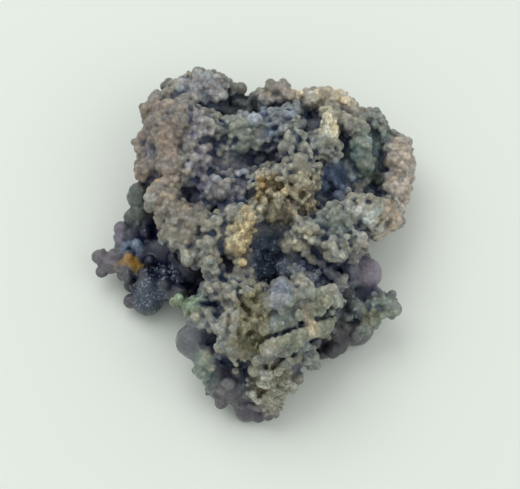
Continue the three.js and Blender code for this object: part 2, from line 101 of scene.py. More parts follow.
# Ridges, ledges and branches that cross the top: places in plan, how far they stand over the host, and the
# half width and half thickness of their grains
RIDGES = {
    "ledge_top": (((-0.4, -15.4), (6.3, -12.5), (12.6, -10.4)), 0.6, 1.15, 0.4),
    "ledge_upper": (((0.6, -18.0), (6.3, -15.4), (12.0, -12.5)), 0.6, 0.9, 0.35),
    "ledge_middle": (((0.6, -20.1), (6.3, -17.6), (11.7, -14.9)), 0.6, 0.85, 0.35),
    "ledge_lower": (((-0.3, -21.5), (3.9, -19.9), (8.4, -18.0)), 0.6, 0.8, 0.35),
    "ledge_foot": (((0.6, -23.4), (3.3, -21.9), (6.3, -20.0)), 0.6, 0.75, 0.35),
    "blue_ledge": (((1.4, -14.8), (3.0, -13.0), (5.0, -11.4)), 0.8, 1.0, 0.35),
    "ledge_lump": (((10.5, -13.5), (8.4, -14.9), (7.2, -16.4), (7.6, -18.0)), 1.0, 0.6, 0.55),
    "arch_left": (
        ((1.5, 1.5), (-0.6, -1.2), (-1.8, -4.1), (-2.7, -7.4), (-2.1, -10.3)),
        0.7,
        0.65,
        0.55,
    ),
    "arch_right": (((3.6, -2.7), (6.6, -4.0), (9.6, -5.7), (12.9, -7.6)), 1.0, 0.8, 0.6),
    "branch_left": (((1.8, 12.9), (3.3, 10.9), (4.8, 9.3), (3.9, 6.4)), 0.8, 0.5, 0.45),
    "branch_left_twig": (((4.8, 12.6), (4.4, 10.9), (4.6, 9.5)), 0.8, 0.45, 0.4),
    "branch_middle": (((5.7, 14.1), (6.9, 11.2), (8.4, 8.9), (9.6, 7.0)), 0.8, 0.5, 0.45),
    "branch_right": (((11.4, 9.3), (13.2, 6.7), (15.3, 5.4), (17.1, 3.5)), 0.8, 0.5, 0.45),
    "branch_low": (((13.0, 0.4), (14.1, -2.3), (12.3, -4.6)), 0.7, 0.5, 0.45),
    "branch_crown": (((-1.2, 5.2), (0.9, 3.9), (2.7, 2.3), (4.5, 3.2)), 0.7, 0.5, 0.45),
    "branch_back": (((-3.0, 7.8), (-1.0, 7.0), (1.2, 6.6), (2.4, 4.6)), 0.8, 0.5, 0.45),
    "crown_edge": (((4.6, 5.6), (4.3, 3.6), (4.4, 1.4)), 0.7, 0.4, 0.5),
    "column_left": (((-3.3, -11.4), (-2.7, -15.0), (-3.6, -18.8), (-3.0, -21.8)), 0.5, 0.5, 0.45),
    "left_lump": (((-18.5, 8.2), (-18.8, 3.6)), 0.0, 1.5, 1.4),
    "apron_crease": (((-6.6, 3.1), (-7.8, 0.0), (-7.2, -3.7)), 0.4, 0.5, 0.45),
}
LEDGE_TILT = 0.55  # how steeply a ledge's face drops towards the front
LEDGE_FLATNESS = 0.5  # a ridge whose grains are thinner than this share of their width is a ledge
RIDGE_STEP = 0.45
RIDGE_VARIETY = (0.75, 1.25)  # least and most size of a ridge's grains, as a share of the size above
LEDGE_VARIETY = (0.88, 1.12)
RIDGE_STRAY = 0.28  # how far a ridge's grains stray from its line
LEDGE_STRAY = 0.1
RIDGE_UNEVEN = 0.2  # how much a ridge's height varies
LEAST_GRAIN = 0.5  # no grain of a ridge is shorter than this along its line
RIDGE_SPAN = 3  # how many steps each way a ridge evens out the ground under it
RIDGE_CLEAR = (0.5, 1.4)  # grapes thin out between these distances from a ridge's line
FAR_AWAY = 100.0

# Relief, read on a grid in plan over the whole stone, against the ground evened out over these distances
PLAN_STEP = 0.4
PLAN_REACH = 30
BROAD_RELIEF = 2.4
FINE_RELIEF = 0.9
RIM_FADE = (0.6, 0.9)  # relief fades to none where less than this share of the ground round a point is there

# Areas of the stone as centre and half widths
AREA_EDGE = (0.7, 1.25)  # an area fades out between these shares of its half widths
AREAS = {
    "lavender_crest": ((-8.5, 22.4, 15), (3.9, 2.4, 5)),
    "pink_dome": ((-14.8, 11.7, 14), (5.1, 9.4, 9)),
    "lavender_dome_right": ((-8.1, 11.3, 16), (2.1, 6.1, 6)),
    "violet_trough": ((-8.8, 4.9, 15), (1.3, 3.6, 4)),
    "pink_apron": ((-11.5, 0.5, 17), (4.2, 4.5, 6)),
    "tan_back_rim": ((4.2, 22.3, 13), (3.9, 2.4, 5)),
    "tan_back_rim_right": ((10.6, 21.6, 13), (5.0, 2.6, 5)),
    "peach_right_rim": ((22.3, 9.6, 9), (3.0, 8.4, 6)),
    "peach_right_low": ((19.6, 1.5, 10), (3.3, 3.2, 6)),
    "teal_valley": ((18.1, 15.4, 8), (2.2, 4.2, 5)),
    "blue_bowl": ((2.2, 17.0, 14), (5.4, 4.2, 5)),
    "lavender_bowl": ((-4.5, 6.0, 14), (3.2, 4.4, 5)),
    "pale_bowl_cluster": ((-3.0, 14.2, 15), (2.1, 2.8, 4)),
    "cream_cluster": ((11.2, 14.3, 19), (1.9, 2.9, 5)),
    "tan_crown": ((1.6, 3.2, 20), (3.9, 3.2, 5)),
    "tan_crown_right": ((7.2, 3.4, 19), (2.7, 3.6, 5)),
    "brown_crown": ((3.4, -0.1, 19), (2.2, 2.3, 4)),
    "orange_spot": ((0.8, 3.7, 20), (0.9, 1.0, 3)),
    "gold_arch": ((-1.4, -3.2, 18), (2.3, 4.2, 5)),
    "cream_limb_high": ((6.2, -3.9, 17.5), (2.8, 1.4, 5)),
    "cream_limb": ((11.0, -6.4, 15.5), (2.8, 1.5, 5)),
    "tan_leg": ((-3.9, -4.8, 16), (2.4, 3.4, 5)),
    "green_grapes": ((11.7, -0.7, 17), (2.7, 2.1, 4)),
    "pale_slab": ((16.6, 0.9, 13), (3.0, 3.1, 5)),
    "olive_column": ((-0.8, -16.9, 17), (2.7, 6.5, 6)),
    "grey_lumps": ((-6.6, -11.1, 13), (1.9, 2.4, 5)),
    "green_plate": ((-10.6, -11.3, 11), (3.4, 2.9, 6)),
    "lavender_grape": ((-9.9, -17.9, 11), (2.5, 3.6, 5)),
    "green_low": ((-7.6, -20.7, 8), (1.9, 3.2, 5)),
    "grey_green_ledges": ((6.9, -15.7, 14), (5.7, 5.5, 5)),
    "tan_foot": ((2.2, -23.7, 9), (3.6, 4.2, 6)),
    "purple_foot": ((-4.2, -22.3, 6), (2.9, 2.6, 4)),
    "mauve_grape": ((16.6, -5.7, 8), (2.9, 2.9, 5)),
    "slate_grapes": ((13.7, -10.3, 9), (2.0, 2.9, 6)),
    "green_grey_crust": ((17.8, -12.6, 8), (3.6, 3.9, 5)),
    "white_strip": ((15.0, -13.0, 9), (1.2, 0.8, 3)),
    "purple_low_right": ((11.7, -15.8, 5), (3.0, 3.2, 6)),
    # The left shelf, navy stone partly in painted shadow under the apron
    "shadowed_navy_shelf": ((-13.0, -1.8, 5.5), (8.0, 8.4, 7)),
    "green_grey_left": ((-18.1, 5.8, 8), (1.9, 3.1, 6)),
    "mauve_knob_high": ((-21.0, 1.4, 5), (1.4, 1.5, 4)),
    "mauve_knob_low": ((-22.3, -2.6, 4), (1.9, 2.1, 5)),
    "slate_low_left": ((-15.8, -8.1, 4), (3.0, 2.3, 5)),
    "ochre_patch": ((-18.9, -3.6, 6), (2.0, 0.9, 4)),
    "arch_hollow": ((1.6, -4.4, 11), (3.6, 4.2, 5)),
    "right_hollow": ((11.5, 8.3, 10), (2.7, 3.9, 5)),
    "back_hollow": ((-2.4, 21.0, 10), (3.0, 2.4, 4)),
    "dark_green_hole": ((18.3, 9.6, 9), (1.1, 1.5, 3)),
    # The bottom of the arch's hollow, navy stone in painted shade
    "arch_deep_shade": ((2.4, -7.1, 9.5), (2.4, 1.4, 4)),
    "slate_druse": ((6.5, -7.4, 12), (3.4, 2.2, 5)),
    "blue_slab": ((3.2, -12.4, 17), (2.6, 2.2, 4)),
    "tan_lump": ((8.0, -16.2, 13), (1.7, 2.4, 4)),
    "mauve_dome_middle": ((-11.0, 15.0, 17), (2.6, 5.0, 6)),
    "teal_lump": ((15.6, 12.5, 11), (2.5, 4.6, 5)),
    "tan_lump_back": ((12.8, 17.0, 14), (2.2, 2.6, 4)),
    "navy_druse": ((-14.8, -5.6, 5), (4.4, 2.6, 5)),
    "slate_patch": ((-19.0, -1.2, 6), (1.6, 1.2, 4)),
    "green_base": ((-9.0, -13.6, 12), (3.0, 3.2, 5)),
    "green_rim_low": ((-14.8, -9.9, 2), (3.0, 1.3, 3)),
    # The wall under the apron, navy stone in painted shadow
    "shadowed_navy_wall": ((-13.2, -4.0, 10), (3.4, 4.2, 4.5)),
    "left_gap": ((-12.0, -11.0, 2.5), (1.8, 1.8, 3)),
}

# Each area's colour and how fully it covers what was there. Later areas lie over earlier ones.
TINTS = {
    "pink_dome": ("#8c7d73", 0.9),
    "mauve_dome_middle": ("#6b6563", 0.8),
    "lavender_dome_right": ("#96939e", 0.8),
    "lavender_crest": ("#9a99a0", 0.9),
    "violet_trough": ("#6a6780", 0.7),
    "pink_apron": ("#7a7268", 0.9),
    "tan_back_rim": ("#a09489", 0.9),
    "tan_back_rim_right": ("#c6baa4", 0.8),
    "peach_right_rim": ("#b2a69b", 0.95),
    "peach_right_low": ("#b8ab9c", 0.9),
    "teal_valley": ("#7f9593", 0.9),
    "blue_bowl": ("#768291", 0.85),
    "lavender_bowl": ("#83828c", 0.75),
    "pale_bowl_cluster": ("#8c938b", 0.85),
    "cream_cluster": ("#cbc5ae", 0.95),
    "tan_crown": ("#afa386", 0.85),
    "tan_crown_right": ("#a0967c", 0.75),
    "brown_crown": ("#726852", 0.85),
    "orange_spot": ("#9c7a48", 0.8),
    "tan_leg": ("#9c947c", 0.8),
    "gold_arch": ("#c6b58c", 0.85),
    "cream_limb_high": ("#d0cab2", 0.85),
    "cream_limb": ("#d2d0bc", 0.85),
    "green_grapes": ("#87938a", 0.8),
    "pale_slab": ("#b4b5ac", 0.85),
    "olive_column": ("#827d5f", 0.9),
    "grey_lumps": ("#7b8082", 0.85),
    "green_base": ("#7f867f", 0.6),
    "green_plate": ("#84977b", 0.9),
    "lavender_grape": ("#646870", 0.9),
    "green_low": ("#83958a", 0.9),
    "grey_green_ledges": ("#7e8676", 0.85),
    "tan_foot": ("#a6a392", 0.9),
    "purple_foot": ("#504c5a", 0.95),
    "mauve_grape": ("#857c8b", 0.95),
    "slate_grapes": ("#1a252e", 0.9),
    "green_grey_crust": ("#7f897d", 0.9),
    "white_strip": ("#c4c6bc", 0.9),
    "purple_low_right": ("#302d38", 0.9),
    # Navy stone, darker still as painted shadow under the apron
    "shadowed_navy_shelf": ("#0c1736", 0.97),
    "shadowed_navy_wall": ("#0c1736", 0.95),
    "green_grey_left": ("#46554f", 0.85),
    "mauve_knob_high": ("#6a6476", 0.85),
    "mauve_knob_low": ("#68626c", 0.9),
    "slate_low_left": ("#37495e", 0.9),
    "ochre_patch": ("#a98236", 0.95),
    "arch_hollow": ("#46566c", 0.95),
    "right_hollow": ("#70829f", 0.9),
    "back_hollow": ("#3c454e", 0.85),
    "dark_green_hole": ("#27332e", 0.9),
    # Navy stone, near black as painted shade deep in the arch's hollow
    "arch_deep_shade": ("#0a1222", 0.95),
    "slate_druse": ("#6d7a8c", 0.85),
    "blue_slab": ("#6a7488", 0.85),
    "tan_lump": ("#a89c86", 0.85),
    "teal_lump": ("#5f7672", 0.85),
    "tan_lump_back": ("#958a7a", 0.85),
    "slate_patch": ("#7788a0", 0.9),
    "green_rim_low": ("#4c5f58", 0.8),
}
TOP_COLOUR = "#8a8b84"
UNDER_COLOUR = "#55505c"
UNDER_BELOW = (4.0, 10.0)  # the top's colour gives way to the underside's between these heights
SMOOTH_BELOW = (5, 8)  # the underside's large balls are smooth below these heights
BRIGHTNESS = 0.9

# Painted shade: crevices, between close walls, and low ground turn darker, brown where the stone is sugary,
# blue elsewhere; partly it is the deeper blue that the chalcedony has in its hollows
CREVICE_SHADE_WARM = "#453c2d"
CREVICE_SHADE_COOL = "#3f506c"
DEEP_SHADE_WARM = "#5a4f38"
DEEP_SHADE_COOL = "#4d536c"
DEEP_SHADE_COVER = 0.75
SMOOTH_DEPTH = 0.5  # how much less of that low ground's colour smooth parts take
OPEN_DEPTH = 0.7  # how much less of both colours open hollows take
MOST_SHUT = 0.85
# Painted light: tips turn lighter and a little creamy, partly the paler frost that the stone's exposed
# grains have
PAINTED_TIP_LIGHT = 0.2
TIP_COLOUR = "#b5ad97"
TIP_COVER = 0.07
SMOOTH_TIP = 0.8  # how much less of it smooth parts take

# Rays that find how shut in a point is
RAYS = 10
RAY_REACH = 7
RAY_START = 0.04
RAY_LEAN = 1.05  # how strongly rays lean towards the surface's own direction
CLOSE_WALL = 0.9

AREA_WANDER = 1.0  # how far an area's edge strays
SKIN_WANDER_SIZE = 3.5
BALL_WANDER_SIZE = 2.6
WANDER_SHIFTS = (Vector((9.3, 0, 0)), Vector((0, 19.7, 0)), Vector((0, 0, 30.1)))  # one for each direction
BALL_STRAY = 0.3
BALL_VARIETY = 0.2  # how much one ball's shade differs from the next one's
SHADE_LIMITS = (0.5, 1.6)
BALL_WARMTH = 0.04
CLUMP_WARMTH = 0.12  # how much warmer or cooler whole clumps of balls are
WARM_CLUMP_SIZE = 2.2
WARM_CLUMP_SHIFT = Vector((31, 7, 3))
WARMTH = np.array([1, 0, -1.2])  # what a warmer shade adds to red, green and blue

# Areas with smooth large balls and no fine grains
SMOOTH_AREAS = (
    "lavender_grape",
    "purple_foot",
    "mauve_grape",
    "slate_grapes",
    "purple_low_right",
    "shadowed_navy_shelf",
    "mauve_knob_high",
    "mauve_knob_low",
    "slate_low_left",
    "arch_hollow",
    "arch_deep_shade",
    "right_hollow",
)
# Areas where the grapes have grown together into a low, even crust
FUSED_AREAS = (
    "pink_dome",
    "lavender_crest",
    "pink_apron",
    "tan_back_rim",
    "tan_back_rim_right",
    "peach_right_rim",
    "peach_right_low",
    "teal_lump",
    "tan_lump_back",
    "pale_slab",
    "cream_cluster",
    "green_plate",
    "green_low",
)
# Areas where almost no grains stand on the ground
BARE_AREAS = ("grey_green_ledges", "left_gap", "mauve_grape", "lavender_grape", "green_grey_left")
# Hollows that are open enough for light to reach their ground
OPEN_AREAS = ("teal_valley", "back_hollow", "arch_hollow", "right_hollow")
# Areas with a druse, a coat of tiny crystals that sparkle
DRUSY_AREAS = (
    "navy_druse",
    "slate_low_left",
    "slate_patch",
    "slate_grapes",
    "arch_hollow",
    "slate_druse",
    "blue_slab",
    "lavender_crest",
)
# Areas whose grains are mostly sugar-fine
SUGARY_AREAS = (
    "olive_column",
    "tan_crown",
    "tan_crown_right",
    "gold_arch",
    "brown_crown",
    "cream_cluster",
    "tan_foot",
    "white_strip",
)


def linear(hex_colour):
    """An sRGB hex colour as linear red, green and blue."""
    channels = [int(hex_colour[i : i + 2], 16) / 255 for i in (1, 3, 5)]
    return np.array([c / 12.92 if c <= 0.04045 else ((c + 0.055) / 1.055) ** 2.4 for c in channels])


def ramp(value, low, high):
    """0 below low, 1 above high, smooth between them."""
    t = np.clip((value - low) / (high - low), 0, 1)
    return t * t * (3 - 2 * t)


def inside(points, area):
    """1 well inside an area, 0 outside it, smooth at its edge."""
    centre, half = AREAS[area]
    away = np.linalg.norm((points - np.array(centre)) / np.array(half), axis=1)
    return 1 - ramp(away, *AREA_EDGE)


def most(points, areas):
    """1 well inside any of the areas, 0 outside them all."""
    return np.max([inside(points, area) for area in areas], axis=0)


def points_of(mesh):
    flat = np.empty(len(mesh.vertices) * 3, dtype=np.float32)
    mesh.vertices.foreach_get("co", flat)
    return flat.reshape(-1, 3).astype(float)


def normals_of(mesh):
    flat = np.empty(len(mesh.vertices) * 3, dtype=np.float32)
    mesh.vertex_normals.foreach_get("vector", flat)
    return flat.reshape(-1, 3).astype(float)


def move_points(mesh, points):
    mesh.vertices.foreach_set("co", points.astype(np.float32).ravel())
    mesh.update()


def store(mesh, name, values):
    """A named value or colour at each of a mesh's points."""
    kind = "FLOAT" if values.ndim == 1 else "FLOAT_COLOR"
    attribute = mesh.attributes.new(name, kind, "POINT")
    if values.ndim == 1:
        attribute.data.foreach_set("value", values.astype(np.float32))
    else:
        full = np.concatenate([values, np.ones((len(values), 1))], axis=1)
        attribute.data.foreach_set("color", full.astype(np.float32).ravel())


def add_object(mesh, name):
    obj = bpy.data.objects.new(name, mesh)
    bpy.context.scene.collection.objects.link(obj)
    return obj


def baked(obj, name):
    """A new mesh of an object with its modifiers worked out. The object goes."""
    graph = bpy.context.evaluated_depsgraph_get()
    mesh = bpy.data.meshes.new_from_object(obj.evaluated_get(graph))
    bpy.data.objects.remove(obj)
    mesh.name = name
    return mesh


def remeshed(mesh, name, voxel, smoothing=0):
    """A mesh as one skin of that fineness."""
    obj = add_object(mesh, name)
    skin = obj.modifiers.new("skin", "REMESH")
    skin.mode = "VOXEL"
    skin.voxel_size = voxel * MM
    if smoothing:
        smooth = obj.modifiers.new("smooth", "SMOOTH")
        smooth.factor = SMOOTHING_FACTOR
        smooth.iterations = smoothing
    return baked(obj, name)


def joined(meshes, name):
    """One mesh of several, with no points shared between them."""
    points = []
    faces = []
    for mesh in meshes:
        first = sum(len(p) for p in points)
        points.append(points_of(mesh))
        faces += [[first + v for v in polygon.vertices] for polygon in mesh.polygons]
    mesh = bpy.data.meshes.new(name)
    mesh.from_pydata(np.concatenate(points).tolist(), [], faces)
    return mesh


def node(tree, kind, links=None, **settings):
    """Adds a node, sets its fields and its inputs, and links other nodes' outputs to its inputs."""
    made = tree.nodes.new(kind)
    for key, value in settings.items():
        setattr(made, key, value)
    for key, value in (links or {}).items():
        if isinstance(value, bpy.types.NodeSocket):
            tree.links.new(value, made.inputs[key])
        else:
            made.inputs[key].default_value = value
    return made


def maths(tree, operation, *values):
    """The outcome of a sum with values that are numbers or other nodes' outputs."""
    return node(tree, "ShaderNodeMath", dict(enumerate(values)), operation=operation).outputs[0]


def mapped(tree, value, span, outcome):
    """A value with its span, from least to most, mapped onto another one."""
    ranges = {"From Min": span[0], "From Max": span[1], "To Min": outcome[0], "To Max": outcome[1]}
    return node(tree, "ShaderNodeMapRange", {"Value": value, **ranges}).outputs[0]


def scaled(tree, vector, size):
    """A vector node's output times a size."""
    made = node(tree, "ShaderNodeVectorMath", {0: vector, "Scale": size}, operation="SCALE")
    return made.outputs["Vector"]


def surface_of(mesh):
    """A mesh's faces, ready for rays to find."""
    return BVHTree.FromPolygons([v.co for v in mesh.vertices], [p.vertices for p in mesh.polygons])


def evened(grid, radius):
    """A grid in plan, evened out over that radius."""
    reach = int(3 * radius / PLAN_STEP)
    weight = np.exp(-0.5 * (np.arange(-reach, reach + 1) * PLAN_STEP / radius) ** 2)
    weight /= weight.sum()
    for axis in (0, 1):
        grid = np.apply_along_axis(np.convolve, axis, grid, weight, mode="same")
    return grid


def relief(points, surface):
    """How far each point stands over the ground round it, broadly and finely. It fades at the rim."""
    lines = np.arange(-PLAN_REACH, PLAN_REACH + PLAN_STEP, PLAN_STEP)
    height = np.zeros((len(lines), len(lines)))
    there = np.zeros((len(lines), len(lines)))
    for i, x in enumerate(lines):
        for j, y in enumerate(lines):
            hit = surface.ray_cast(Vector((x * MM, y * MM, 1)), Vector((0, 0, -1)))[0]
            if hit:
                height[i, j] = hit.z / MM
                there[i, j] = 1
    i = np.clip(np.round((points[:, 0] + PLAN_REACH) / PLAN_STEP).astype(int), 0, len(lines) - 1)
    j = np.clip(np.round((points[:, 1] + PLAN_REACH) / PLAN_STEP).astype(int), 0, len(lines) - 1)
    within = ramp(evened(there, BROAD_RELIEF)[i, j], *RIM_FADE)
    levels = []
    for radius in (BROAD_RELIEF, FINE_RELIEF):
        ground = evened(height, radius) / np.maximum(evened(there, radius), 0.01)
        levels.append((points[:, 2] - ground[i, j]) * within)
    return levels


def ridge_distance(points):
    """How far each point is from the nearest ridge's line in plan."""
    nearest = np.full(len(points), FAR_AWAY)
    for places, *_ in RIDGES.values():
        for start, end in zip(places, places[1:]):
            start = np.array(start)
            way = np.array(end) - start
            along = np.clip((points[:, :2] - start) @ way / (way @ way), 0, 1)
            away = np.linalg.norm(points[:, :2] - start - along[:, None] * way, axis=1)
            nearest = np.minimum(nearest, away)
    return nearest


def grain_group():
    """Scatters balls over a surface where the mask attribute lets them grow."""
    tree = bpy.data.node_groups.new("grains", "GeometryNodeTree")
    face = tree.interface
    face.new_socket("Geometry", in_out="INPUT", socket_type="NodeSocketGeometry")
    for name in ("Least Radius", "Most Radius", "Spacing", "Proud"):
        face.new_socket(name, in_out="INPUT", socket_type="NodeSocketFloat")
    face.new_socket("Mask", in_out="INPUT", socket_type="NodeSocketString")
    face.new_socket("Seed", in_out="INPUT", socket_type="NodeSocketInt")
    face.new_socket("Finish", in_out="INPUT", socket_type="NodeSocketMaterial")
    face.new_socket("Geometry", in_out="OUTPUT", socket_type="NodeSocketGeometry")
    given = tree.nodes.new("NodeGroupInput").outputs
    mask = node(tree, "GeometryNodeInputNamedAttribute", {"Name": given["Mask"]}, data_type="FLOAT")
    spread = node(
        tree,
        "GeometryNodeDistributePointsOnFaces",
        {
            "Mesh": given["Geometry"],
            "Distance Min": given["Spacing"],
            "Density Max": GRAIN_DENSITY,
            "Density Factor": mask.outputs["Attribute"],
            "Seed": given["Seed"],
        },
        distribute_method="POISSON",
    )
    radius = node(
        tree,
        "FunctionNodeRandomValue",
        {2: given["Least Radius"], 3: given["Most Radius"], "Seed": given["Seed"]},
        data_type="FLOAT",
    )
    kept = node(
        tree,
        "GeometryNodeStoreNamedAttribute",
        {"Geometry": spread.outputs["Points"], "Name": "radius", "Value": radius.outputs[1]},
        data_type="FLOAT",
    )
    own_radius = node(tree, "GeometryNodeInputNamedAttribute", {"Name": "radius"}, data_type="FLOAT")
    rise = maths(tree, "MULTIPLY", own_radius.outputs["Attribute"], given["Proud"])
    moved = node(
        tree,
        "GeometryNodeSetPosition",
        {"Geometry": kept.outputs["Geometry"], "Offset": scaled(tree, spread.outputs["Normal"], rise)},
    )
    ball = node(tree, "GeometryNodeMeshIcoSphere", {"Radius": 1.0, "Subdivisions": 2})
    uneven = node(
        tree,
        "FunctionNodeRandomValue",
        {0: (1 - UNEVEN,) * 3, 1: (1 + UNEVEN,) * 3, "Seed": given["Seed"]},
        data_type="FLOAT_VECTOR",
    )
    size = scaled(tree, uneven.outputs[0], own_radius.outputs["Attribute"])
    balls = node(
        tree,
        "GeometryNodeInstanceOnPoints",
        {"Points": moved.outputs["Geometry"], "Instance": ball.outputs["Mesh"], "Scale": size},
    )
    real = node(tree, "GeometryNodeRealizeInstances", {"Geometry": balls.outputs["Instances"]})
    dressed = {"Geometry": real.outputs["Geometry"], "Material": given["Finish"]}
    finish = node(tree, "GeometryNodeSetMaterial", dressed)
    node(tree, "NodeGroupOutput", {"Geometry": finish.outputs["Geometry"]})
    return tree


def grains(group, host, name, mask, sizes, seed, finish):
    """The balls that grow on a host mesh where the mask is above zero."""
    obj = add_object(host.copy(), name)
    growth = obj.modifiers.new("grains", "NODES")
    growth.node_group = group
    least, greatest, spacing, proud = sizes
    values = {
        "Least Radius": least * MM,
        "Most Radius": greatest * MM,
        "Spacing": spacing * MM,
        "Proud": proud,
        "Mask": mask,
        "Seed": seed,
        "Finish": finish,
    }
    for socket in group.interface.items_tree:
        if socket.in_out == "INPUT" and socket.name in values:
            growth[socket.identifier] = values[socket.name]
    return baked(obj, name)


def mask_values(points, surface):
    """Where each size of grain grows, from 0 to 1."""
    height = points[:, 2]
    smooth = most(points, SMOOTH_AREAS)
    sugary = most(points, SUGARY_AREAS)
    upper = ramp(height, *GRAPES_ABOVE) * (1 - smooth)
    crusted = most(points, FUSED_AREAS)
    bare = most(points, BARE_AREAS)
    clump = np.array([noise.noise(Vector(p) / CLUMP_SIZE) for p in points])
    broad = relief(points, surface)[0]
    standing = 0.3 + 0.7 * ramp(broad, -1.5, 0.3)
    clear = ramp(ridge_distance(points), *RIDGE_CLEAR) * (1 - 0.75 * bare)
    clumped = 0.15 + 0.85 * ramp(clump, -0.3, 0.0)
    between = ramp(-clump, -0.25, 0.1)
    return {
        "large": ramp(height, *LARGE_ABOVE) * (0.15 + 0.45 * smooth) * (1 - 0.6 * sugary) * (1 - bare),
        "grape": upper * (1 - 0.55 * sugary) * (1 - 0.85 * crusted) * clumped * standing * clear,
        "fused": upper * crusted,
        "small": upper * (0.25 + 0.75 * sugary) * between * (0.4 + 0.6 * clear),
    }


def make_host(cad):
    """The CAD solid's skin, evened out and drawn in by the room that its grains need."""
    obj = add_object(cad.data.copy(), "host")
    weld = obj.modifiers.new("weld", "WELD")
    weld.merge_threshold = 0.001 * MM
    mesh = remeshed(baked(obj, "host"), "host", HOST_VOXEL, HOST_SMOOTHING)
    points = points_of(mesh)
    room = GRAIN_ROOM * MM * ramp(points[:, 2] / MM, FLAT_HEIGHT, 3 * FLAT_HEIGHT)
    smooth = most(points / MM, SMOOTH_AREAS)
    high = ramp(points[:, 2] / MM, *LOW_PARTS)
    room = room * (SMOOTH_ROOM + (1 - SMOOTH_ROOM) * (1 - smooth) * high)
    move_points(mesh, points - normals_of(mesh) * room[:, None])
    return mesh


def ridge_balls(host):
    """Balls along each ridge, over the ground as it is under them but evened out, as one mesh."""
    ground = surface_of(host)
    random = np.random.default_rng(17)
    shell = bmesh.new()
    bmesh.ops.create_icosphere(shell, subdivisions=2, radius=1)
    ball = bpy.data.meshes.new("ball")
    shell.to_mesh(ball)
    shell.free()
    shape = points_of(ball)
    corners = [list(polygon.vertices) for polygon in ball.polygons]
    points = []
    faces = []
    for places, rise, width, thickness in RIDGES.values():
        line = np.array(places)
        run = np.concatenate([[0], np.cumsum(np.linalg.norm(np.diff(line, axis=0), axis=1))])
        along = np.arange(0, run[-1], RIDGE_STEP)
        plan = np.stack([np.interp(along, run, line[:, axis]) for axis in (0, 1)], axis=1)
        flat = thickness < LEDGE_FLATNESS * width
        plan += random.normal(scale=LEDGE_STRAY if flat else RIDGE_STRAY, size=plan.shape)
        hits = [ground.ray_cast(Vector((x * MM, y * MM, 1)), Vector((0, 0, -1)))[0] for x, y in plan]
        level = np.array([hit.z / MM if hit else 0 for hit in hits])
        wide = np.pad(level, RIDGE_SPAN, mode="edge")
        even = np.array([wide[i : i + 2 * RIDGE_SPAN + 1].mean() for i in range(len(level))])
        level = np.maximum(level, even) + rise
        if not flat:
            level += random.normal(scale=RIDGE_UNEVEN, size=len(level))
        way = line[-1] - line[0]
        way /= np.linalg.norm(way)
        across = np.array([way[1], -way[0], -LEDGE_TILT if flat else 0])
        across /= np.linalg.norm(across)
        lengthwise = np.array([way[0], way[1], 0])
        turn = np.stack([lengthwise, across, np.cross(lengthwise, across)])
        for (x, y), z, hit in zip(plan, level, hits):
            if hit is None:
                continue
            share = random.uniform(*(LEDGE_VARIETY if flat else RIDGE_VARIETY))
            size = share * np.array([max(thickness, LEAST_GRAIN), width, thickness])
            first = len(points) * BALL_POINTS
            points.append(((shape * size) @ turn + (x, y, z)) * MM)
            faces += [[first + v for v in face] for face in corners]
    mesh = bpy.data.meshes.new("ridges")
    mesh.from_pydata(np.concatenate(points).tolist(), [], faces)
    return mesh


def make_skin(host, finish):
    """The host and its grains as one skin, light enough to keep, and the grains' centres."""
    group = grain_group()
    for mask, values in mask_values(points_of(host) / MM, surface_of(host)).items():
        store(host, mask, values)
    layers = [
        host,
        grains(group, host, "large_grains", "large", LARGE_GRAINS, 3, finish),
        grains(group, host, "grapes", "grape", GRAPES, 11, finish),
        grains(group, host, "fused_grapes", "fused", FUSED_GRAPES, 31, finish),
        grains(group, host, "small_grains", "small", SMALL_GRAINS, 23, finish),
        ridge_balls(host),
    ]
    balls = np.concatenate([points_of(mesh) for mesh in layers[1:]])
    centres = balls.reshape(-1, BALL_POINTS, 3).mean(axis=1)
    skin = remeshed(joined(layers, "skin"), "skin", SKIN_VOXEL)
    obj = add_object(skin, "skin")
    points = points_of(skin) / MM
    coarse = np.maximum(1 - ramp(points[:, 2], *LOW_PARTS), most(points, SMOOTH_AREAS))
    weight = obj.vertex_groups.new(name="coarse")
    for level in range(COARSE_LEVELS + 1):
        chosen = np.nonzero(np.round(coarse * COARSE_LEVELS) == level)[0].tolist()
        weight.add(chosen, max(level / COARSE_LEVELS, LEAST_WEIGHT), "REPLACE")
    triangles = sum(len(p.vertices) - 2 for p in skin.polygons)
    thin = obj.modifiers.new("thin", "DECIMATE")
    thin.ratio = min(1.0, SKIN_TRIANGLES / triangles)
    thin.vertex_group = weight.name
    thin.vertex_group_factor = COARSE_FACTOR
    return baked(obj, "skin"), centres


def edge_mean(mesh, values, rounds):
    """Values evened out along the mesh's edges."""
    ends = np.empty(len(mesh.edges) * 2, dtype=np.int32)
    mesh.edges.foreach_get("vertices", ends)
    ends = ends.reshape(-1, 2)
    count = np.bincount(ends.ravel(), minlength=len(values))
    for _ in range(rounds):
        total = np.bincount(ends[:, 0], weights=values[ends[:, 1]], minlength=len(values))
        total += np.bincount(ends[:, 1], weights=values[ends[:, 0]], minlength=len(values))
        values = 0.4 * values + 0.6 * total / np.maximum(count, 1)
    return values


